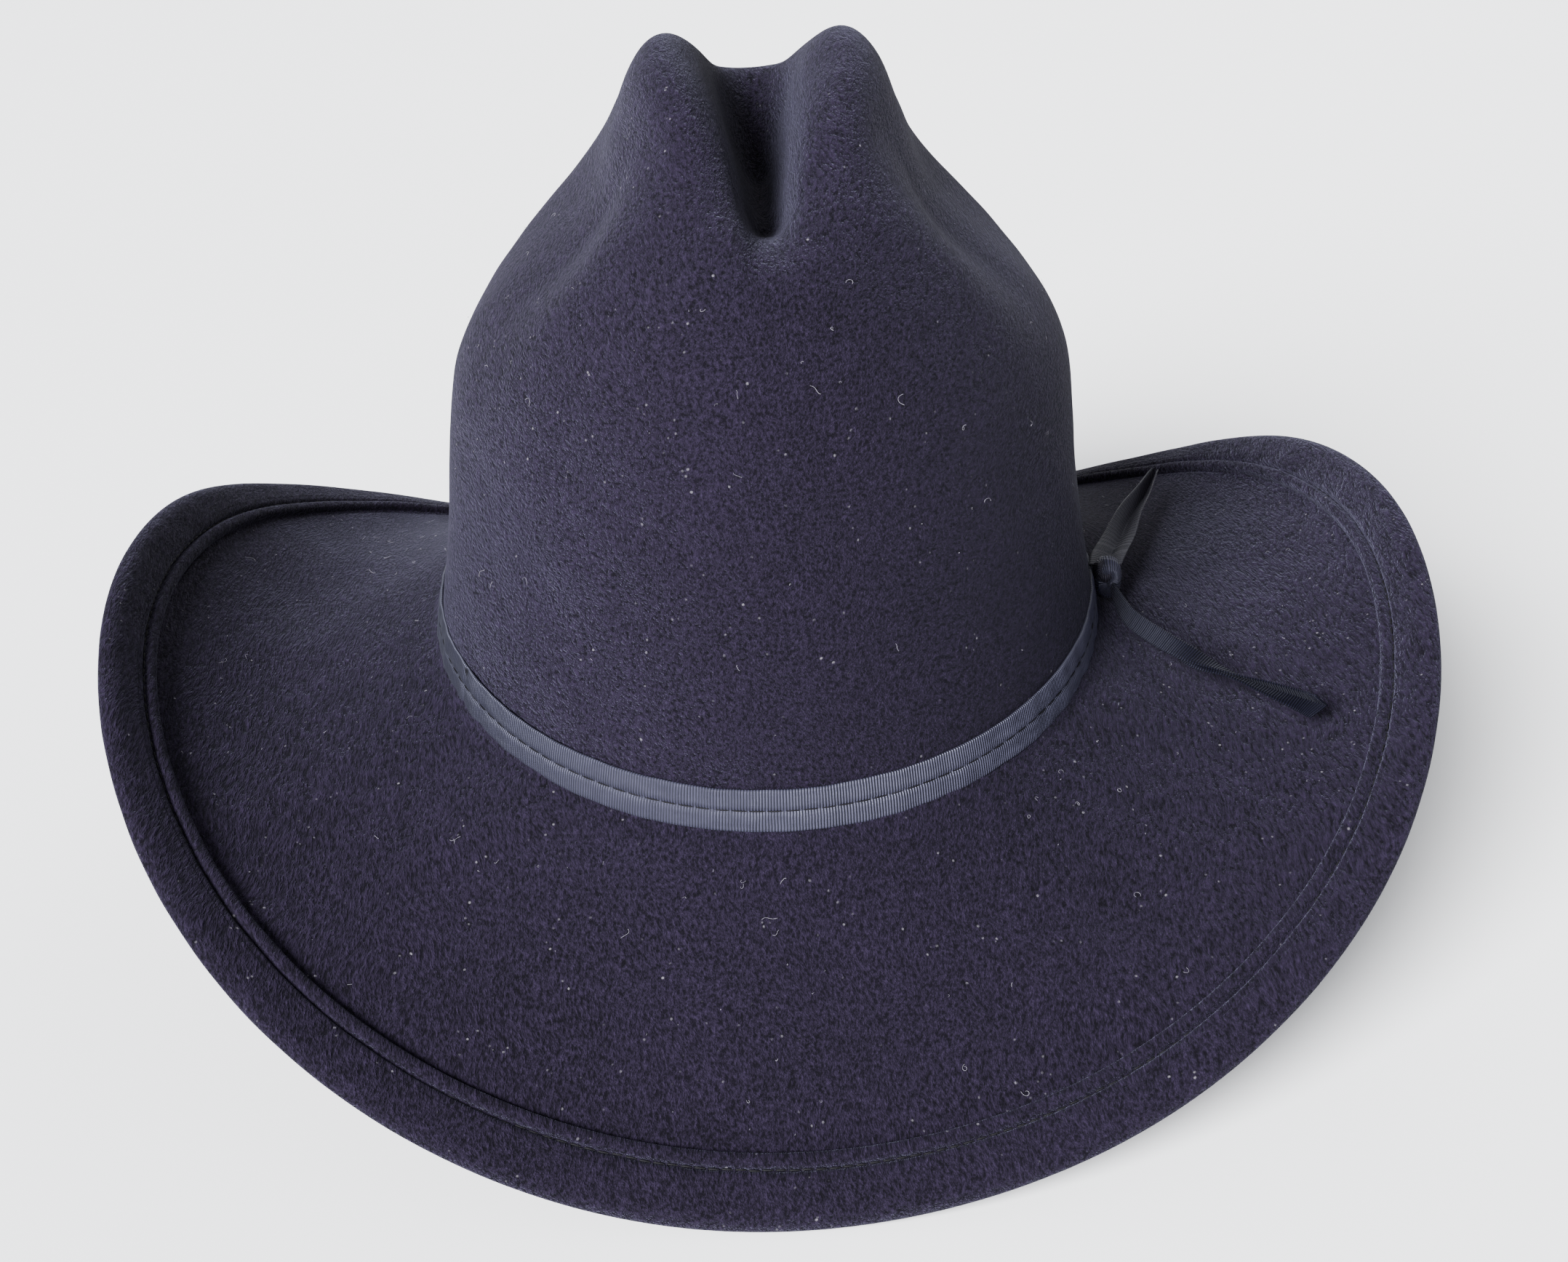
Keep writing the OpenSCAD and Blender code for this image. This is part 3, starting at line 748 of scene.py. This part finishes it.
def make_band_tacks(faces):
    """Two short stitches at each place where the band is tacked to the felt."""
    t = faces[0]
    n = len(t)
    line = on_band(faces, np.full((1, n), BAND_LOW + RIBBON_W - 1.2), np.full((1, n), RIBBON_T + 0.12))[0]
    points, along, up = [], [], []
    for deg in TACKS:
        for side in (-1, 1):
            j = int(round((deg - KNOT_DEG) % 360 / 360 * n)) + 2 * side
            points.append(line[j])
            along.append(unit(np.array([0.12 * side, 0, 1.0])))
            up.append(out_dir(t)[j])
    o = threads("band_tack_threads", points, along, up, 2.2, 0.15, THREAD, 0.12)
    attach(o, "hat")
    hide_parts("band_tacks")


def make_band():
    """The band, its stitches and its tacks."""
    faces = band_faces(3600)
    length, centre, width, gather, pinch = band_line(faces)
    make_band_ribbon(faces, length, centre, width, gather, pinch)
    make_band_thread(faces, centre)
    make_band_tacks(faces)


# ---------------------------------------------------------------- knot and tails
def node_centre(node):
    lo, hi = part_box(node)
    return (np.array((lo + hi) / 2) - ORIGIN) / MM


def wrap(centre, axis, out, half_len, half_out, half_up, folds=3, seed=1, steps=140):
    """A ribbon wound round an axis into a bulging, creased lump: points, faces and uv in mm."""
    axis, out = unit(np.asarray(axis, float)), unit(np.asarray(out, float))
    up = np.cross(axis, out)
    w = np.array([0.15, 0.3, 0.45, 0.6, 0.75, 0.88, 0.97, 1.0, 1.0])
    w = np.concatenate([-w[::-1], [0], w])
    shrink = np.sqrt(np.clip(1 - np.abs(w) ** 3.2 * 0.62, 0, 1))
    shrink[[0, -1]] = 0.08
    shrink[[1, -2]] *= 0.80
    a = np.arange(steps) * 2 * math.pi / steps
    ca, sa = np.cos(a), np.sin(a)
    box = lambda q: np.sign(q) * np.abs(q) ** 0.82
    r = np.random.default_rng(seed)
    crease = sum(0.16 * np.sin(folds * 2.6 * w[:, None] + k * a[None, :] + r.uniform(0, 6)) for k in (1, 2))
    crease = crease * (1 - np.abs(w) ** 4)[:, None]
    girth = half_out + half_up
    ridge = np.cos(2 * math.pi * (a * girth / 2) / RIB_STEP)[None, :] * (np.abs(w) < 0.95)[:, None]
    grow = shrink[:, None] * (1 + (crease + 0.05 * ridge) / (girth / 2))
    p = (np.asarray(centre) + axis * (w * half_len * np.where(np.abs(w) == 1, 0.97, 1))[:, None, None]
         + out * (box(ca)[None, :] * half_out * grow)[..., None]
         + up * (box(sa)[None, :] * half_up * grow)[..., None])
    p += axis * (0.35 * np.sin(2 * a + seed))[None, :, None]
    uv = np.stack([np.broadcast_to(a * girth / 2, p.shape[:2]),
                   np.broadcast_to((w * half_len)[:, None], p.shape[:2])], -1)
    faces = [list(f) for f in grid_faces(len(w), steps)]
    faces += [list(range(steps)), list(range((len(w) - 1) * steps, len(w) * steps))[::-1]]
    return p.reshape(-1, 3), faces, uv.reshape(-1, 2)


def make_knot():
    """The knot: one turn of the ribbon over a second, tilted one."""
    c = node_centre("ribbon_knot")
    out = out_dir(np.array(KNOT_T))
    back, up = np.array([-out[1], out[0], 0]), np.array([0, 0, 1.0])
    main = wrap(c + out * 0.1, back + up * 0.12, out, 3.5, 3.5, 5.3, 3, 1)
    under = wrap(c - out * 0.9 + back * 0.6 + up * 0.5, back * 0.75 - up * 0.66, out, 4.9, 2.7, 3.2, 2, 4)
    # The under turn takes the darker copy of the ribbon: painted shade under the main turn.
    turns = [mesh_piece("knot_wrap", *main, RIBBON), mesh_piece("knot_under", *under, HALF_SHADED_RIBBON)]
    o = join("ribbon_knot_wraps", turns)
    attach(o, "hat")
    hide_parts("ribbon_knot")


def ribbon_faces(rows, m):
    """Faces of a flat ribbon's skin, rows of m points, its upper face first, with strips across its ends."""
    faces = [list(f) for f in grid_faces(rows, m)]
    e = (rows - 1) * m
    spans = range(m // 2 - 1)
    faces += [[j, j + 1, m - 2 - j, m - 1 - j] for j in spans]
    faces += [[e + m - 1 - j, e + m - 2 - j, e + j + 1, e + j] for j in spans]
    return faces


def folded_ribbon(name, path, half, fold, turn, mat):
    """A ribbon end folded lengthwise, and its length in mm.

    half (the half width), fold (the two halves' rise in degrees) and turn (the way the fold opens, in
    degrees) are each given at even steps along path.
    """
    steps, thick, slant = 220, 0.42, -0.5
    k = np.linspace(0, 1, steps)
    p = curve(path, k)
    length = np.concatenate([[0], np.cumsum(np.linalg.norm(np.diff(p, axis=0), axis=1))])
    tangent = unit(np.gradient(p, axis=0))
    across = unit(np.cross(tangent, np.array([0, 0, 1.0])))
    over = np.cross(across, tangent)
    width, phi, beta = (curve([(x,) for x in q], k)[:, 0] for q in (half, fold, turn))
    phi, beta = np.radians(phi), np.radians(beta)[:, None]
    opens = np.cos(beta) * over + np.sin(beta) * across
    side = -np.sin(beta) * over + np.cos(beta) * across
    w = np.concatenate([np.linspace(-1, -0.12, 9), [-0.06, 0, 0.06], np.linspace(0.12, 1, 9)])
    rise, flat = width[:, None] * np.sin(phi)[:, None], width[:, None] * np.cos(phi)[:, None]
    x = w[None, :] * flat
    y = (np.sqrt(w ** 2 + 0.01) - 0.1 - 0.42)[None, :] * rise + 0.10 * np.sin(np.abs(w) * math.pi)[None, :] * flat
    end_cut = slant * np.abs(w)[None, :] * width[:, None] * ease(0.9, 1.0, k)[:, None]
    mid = p[:, None] + side[:, None] * x[..., None] + opens[:, None] * y[..., None]
    mid = mid + tangent[:, None] * end_cut[..., None]
    n = unit(np.cross(np.gradient(mid, axis=0), np.gradient(mid, axis=1)))
    ribs = 0.04 * np.cos(2 * math.pi * length / RIB_STEP)[:, None]
    mid = mid + n * (0.10 * np.sin(length[:, None] / 4.3 + w[None, :] * 2.0) + ribs)[..., None]
    edge = np.where(np.abs(w) > 0.99, 0.55, 1.0)[None, :, None] * thick / 2
    ring = np.concatenate([mid + n * edge, (mid - n * edge)[:, ::-1]], axis=1)
    uv = np.stack([np.broadcast_to(length[:, None], ring.shape[:2]),
                   np.broadcast_to(np.concatenate([w, w[::-1]]) * 5.0, ring.shape[:2])], -1)
    o = mesh_piece(name, ring.reshape(-1, 3), ribbon_faces(*ring.shape[:2]), uv.reshape(-1, 2), mat)
    return o, float(length[-1])


def make_tails():
    """The ribbon's two ends. Each starts at the knot and bends away beside it."""
    c = node_centre("ribbon_knot")
    front = [c + np.array([0.8, -1.5, -0.6]), c + np.array([2.2, -8.5, -2.6]), (91, -30, 11.2),
             (98.5, -46, 10.5), (107.5, -54, 8.5), (116, -60, 7), (127, -69, 6)]
    # The front tail takes the near black copy of the ribbon: painted shade.
    o, run = folded_ribbon("ribbon_tail_front_folded", front, (1.8, 3.6, 4.7, 4.75, 4.75, 4.75, 4.75),
                           (74, 66, 62, 72, 85, 70, 50), (180, 180, 176, 142, 74, 64, 86), SHADED_RIBBON)
    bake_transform(o)
    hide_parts("ribbon_tail_front")
    back = [c + np.array([-0.4, 0.6, 2.6]), c + np.array([2.0, 7.4, 2.6]), (93.5, 10, 15.5),
            (99.5, 26, 15), (106.5, 42, 14.3), (113, 57, 14)]
    # The back tail takes the darker, pinker copy of the ribbon: painted shade.
    o, run = folded_ribbon("ribbon_tail_back_folded", back, (4.4, 4.75, 4.75, 4.75, 4.75, 4.75),
                           (16, 18, 30, 48, 66, 80), (-8, -6, 0, 4, 6, 8), HALF_SHADED_RIBBON)
    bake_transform(o)
    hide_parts("ribbon_tail_back")


# ---------------------------------------------------------------- sweatband, reed and bow
# The leather's section, as height above the band line and distance out from the crown's face.
SWEAT_LINE = [(51.2, -4.45), (40, -4.2), (25, -4.0), (12, -3.85), (6, -3.9), (3, -4.2), (1.0, -5.0),
              (-0.2, -5.42), (-0.95, -5.5), (-1.9, -5.15), (-2.45, -4.0), (-2.0, -3.1), (-0.95, -2.8),
              (0.3, -2.8), (1.6, -2.9)]


def sweat_grid(t):
    """The leather's skin: a long section, rolled round the reed below, waving a little towards its top."""
    line = curve(SWEAT_LINE, np.linspace(0, 1, 64))
    tangent = unit(np.gradient(line, axis=0))
    normal = np.stack([tangent[:, 1], -tangent[:, 0]], -1)
    half = 0.4 * np.sqrt(np.clip(1 - np.linspace(-1, 1, 64) ** 24, 0.05, 1))[:, None]
    section = np.concatenate([line + normal * half, (line - normal * half)[::-1]])
    wave = 0.28 * np.sin(5 * t + 1) + 0.2 * np.sin(11 * t)
    rise = ease(10, 51, section[:, 0])[:, None]
    h = section[:, 0][:, None] + 0.5 * wave * rise
    d = section[:, 1][:, None] + 0.45 * (wave - 0.4) * rise
    seam = np.exp(-(np.angle(np.exp(1j * (t - math.pi / 2))) / 0.006) ** 2)
    lips = ((section[:, 0] > 2.0) & (np.arange(len(section)) < 64))[:, None]
    return wall(np.broadcast_to(t, h.shape), h, d + 0.35 * seam * lips)


def make_sweatband():
    o = hoop("sweatband_leather", sweat_grid(round_hat(360)), LEATHER)
    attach(o, "hat")
    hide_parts("sweatband")


def make_reed():
    n = 360
    c = wall(round_hat(n), np.full(n, -0.95), np.full(n, -4.0))
    o = mesh_piece("reed_cord", *tube(c, 1.06, 12, True), None, REED)
    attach(o, "hat")
    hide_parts("sweatband_reed")


def make_sweatband_thread():
    n = 170
    t = round_hat(n, 0.5)
    c = wall(t, np.full(n, 4.2), np.full(n, -4.45))
    along = unit(np.roll(c, -1, 0) - np.roll(c, 1, 0))
    o = threads("sweatband_thread", c, along, -out_dir(t), 2.3, 0.17, TAN_THREAD, 0.16)
    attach(o, "hat")
    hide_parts("sweatband_stitching")


def make_sweatband_seam():
    """Slanted stitches, every second one the other way, that close the leather at the back."""
    n = 16
    h = np.linspace(8, 47, n)
    t = np.full(n, math.pi / 2)
    drift = np.interp(h, [12, 25, 40, 51], [-3.85, -4.0, -4.2, -4.45])
    slant = np.array([[0.75 * (-1) ** k, 0, 1.0] for k in range(n)])
    c = wall(t, h, drift - 0.62)
    o = threads("sweatband_seam_thread", c, unit(slant), -out_dir(t), 3.4, 0.17, TAN_THREAD, 0.15)
    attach(o, "hat")
    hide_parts("sweatband_seam")


def flat_strip(path, across, half, thick=0.22):
    """A narrow ribbon along path with its width along across: points, faces and uv."""
    n = len(path)
    half = np.broadcast_to(half, (n,))[:, None]
    tangent = unit(np.gradient(path, axis=0))
    across = unit(across - (across * tangent).sum(-1, keepdims=True) * tangent)
    normal = np.cross(tangent, across)
    w = np.array([-1, -0.5, 0, 0.5, 1.0])
    top = path[:, None] + across[:, None] * (w[None, :] * half)[..., None] + normal[:, None] * thick / 2
    low = top - normal[:, None] * thick
    ring = np.concatenate([top, low[:, ::-1]], 1)
    m = ring.shape[1]
    faces = [list(f) for f in grid_faces(n, m)] + [list(range(m))[::-1], list(range((n - 1) * m, n * m))]
    length = np.concatenate([[0], np.cumsum(np.linalg.norm(np.diff(path, axis=0), axis=1))])
    uv = np.stack([np.broadcast_to(length[:, None], ring.shape[:2]),
                   np.broadcast_to(np.concatenate([w, w[::-1]])[None, :] * half, ring.shape[:2])], -1)
    return ring.reshape(-1, 3), faces, uv.reshape(-1, 2)


def make_bow():
    """The small bow at the back of the sweatband: two loops, two ends and a wrapped middle."""
    c = wall(np.array([math.pi / 2]), np.array([12.0]), np.array([-4.6]))[0]
    k = np.linspace(0, 1, 60)
    a = 2 * math.pi * k
    parts = []
    for side in (-1, 1):
        x = side * (0.6 + 4.6 * (1 - np.cos(a)))
        path = c + np.stack([x, -0.75 - 0.62 * np.sin(a), 0.5 * np.sin(a / 2)], -1)
        loop = flat_strip(path, np.broadcast_to([0, 0, 1.0], path.shape), 1.0 + 1.1 * np.sin(a / 2) ** 0.8)
        parts.append(mesh_piece("bow_loop", *loop, RIBBON))
        path = c + np.stack([side * (0.6 + 6.0 * k ** 1.2), -0.35 - 0.25 * np.sin(5 * k), -1.0 - 12.0 * k], -1)
        end = flat_strip(path, np.broadcast_to([1.0, 0, 0.3 * side], path.shape), 0.9 + 0.8 * k)
        parts.append(mesh_piece("bow_end", *end, RIBBON))
    middle = wrap(c + np.array([0, -0.95, 0]), (1, 0, 0), (0, -1, 0), 1.6, 0.95, 1.9, 2, 7, 60)
    parts.append(mesh_piece("bow_middle", *middle, RIBBON))
    o = join("sweatband_ribbon_bow", parts)
    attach(o, "hat")
    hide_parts("sweatband_bow")


# ---------------------------------------------------------------- lining
def lining_face(t, v):
    """The crown's face as the lining follows it, a little softer in the crease, and its normals."""
    face = crown(t[None, :], v[:, None], crease_d=CREASE_D + 1.0, widen=3.0)
    return face, grid_normals(face)


def make_lining_side(t):
    """The side of the lining, gathered at its upper edge."""
    v = np.linspace(0.672, 0.175, 70)
    gathers = 0.5 * (np.sin(46 * t) + 0.6 * np.sin(71 * t + 1) + 0.5 * np.sin(29 * t + 2))
    fade = ease(0.35, 0.66, v)[:, None, None]
    face, normal = lining_face(t, v)
    rows = face - normal * 3.45 - out_dir(t)[None] * (0.35 + 0.33 * gathers[None, :, None] * (0.25 + fade))
    inner = rows - out_dir(t)[None] * SATIN_T
    side = hoop("lining_side_panel", np.concatenate([rows, inner[::-1]]), SATIN)
    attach(side, "hat")
    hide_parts("lining_side")


def make_lining_tip(t):
    n = 80
    face, normal = lining_face(t, 1 - np.linspace(0, 1, n) ** 1.1 * (1 - 0.675))
    soft = (0.25 * ripple(face, 16, 31) + 0.4)[..., None] * ease(0, 6, np.arange(n))[:, None, None]
    top, low = face - normal * (3.3 + soft), face - normal * (3.3 + SATIN_T + soft)
    top[0, :, 0] = low[0, :, 0] = LEAN
    tip = cap("lining_tip_panel", np.concatenate([top, low[::-1]]), SATIN)
    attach(tip, "hat")
    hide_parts("lining_tip")


def make_lining_piping(t):
    """Two strands twisted round each other along the line where the side meets the tip."""
    n, twists = 1600, 130
    face, normal = lining_face(t, np.linspace(0.73, 0.62, 12))
    ring = (face - normal * 4.6)[6]
    at = np.linspace(0, len(t), n, endpoint=False)
    ring = np.stack([np.interp(at, np.arange(len(t) + 1), np.append(q, q[0])) for q in ring.T], -1)
    tangent = unit(np.roll(ring, -1, 0) - np.roll(ring, 1, 0))
    side = unit(np.cross(tangent, [0, 0, 1.0]))
    up = np.cross(side, tangent)
    parts = []
    for start in (0, math.pi):
        a = (np.arange(n) * 2 * math.pi * twists / n + start)[:, None]
        strand = tube(ring + 0.50 * (np.cos(a) * side + np.sin(a) * up), 0.58, 7, True)
        parts.append(mesh_piece("piping_strand", *strand, None, SATIN))
    cord = join("lining_piping_cord", parts)
    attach(cord, "hat")
    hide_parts("lining_piping")


def make_lining():
    t = round_hat(540)
    make_lining_side(t)
    make_lining_tip(t)
    make_lining_piping(t)


# ---------------------------------------------------------------- lint
def lint_spot():
    """A random place on the brim or the crown: the point, a direction along the felt and the way up."""
    t = np.array([RNG.uniform(-math.pi, math.pi)])
    if RNG.uniform() < 0.62:
        p, out, up = brim(t, np.array([RNG.uniform(6, 64)]))
        return p[0, 0], out[0, 0], up[0, 0]
    v = RNG.uniform(0.08, 0.6)
    q = crown(np.array([t[0], t[0] + 0.01, t[0]]), np.array([v, v, v + 0.01]))
    along = unit(q[1] - q[0])
    return q[0], along, unit(np.cross(along, q[2] - q[0]))


def lint_hair(p, along, up):
    """The path of one curled hair that lies at p."""
    size = 0.14 + 0.95 * RNG.uniform() ** 2.5
    turns = RNG.uniform(0.1, 1.3) * RNG.choice([-1, 1])
    start = RNG.uniform(0, 2 * math.pi)
    g = np.linspace(0, 1, 18)
    angle = start + turns * 2 * math.pi * g + 0.6 * np.sin(5 * g + start)
    xy = np.cumsum(size * np.stack([np.cos(angle), np.sin(angle)], -1) / 5, 0)
    lift = 0.42 + 0.25 * np.sin(3 * g + start)
    return p + xy[:, :1] * along + xy[:, 1:] * np.cross(up, along) + up * lift[:, None]


def make_lint():
    """Short pale hairs that lie on the felt, most of them curled."""
    points, faces, first = [], [], 0
    for _ in range(300):
        path = lint_hair(*lint_spot())
        p, f = tube(path, RNG.uniform(0.022, 0.045), 5)
        points.append(p)
        faces += [[x + first for x in q] for q in f]
        first += len(p)
    o = mesh_piece("felt_lint", np.concatenate(points), faces, None, LINT)
    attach(o, "hat")


make_camera()
make_stage()
make_felt()
make_welt_stitches()
make_band()
make_knot()
make_tails()
make_sweatband()
make_reed()
make_sweatband_thread()
make_sweatband_seam()
make_bow()
make_lining()
make_lint()
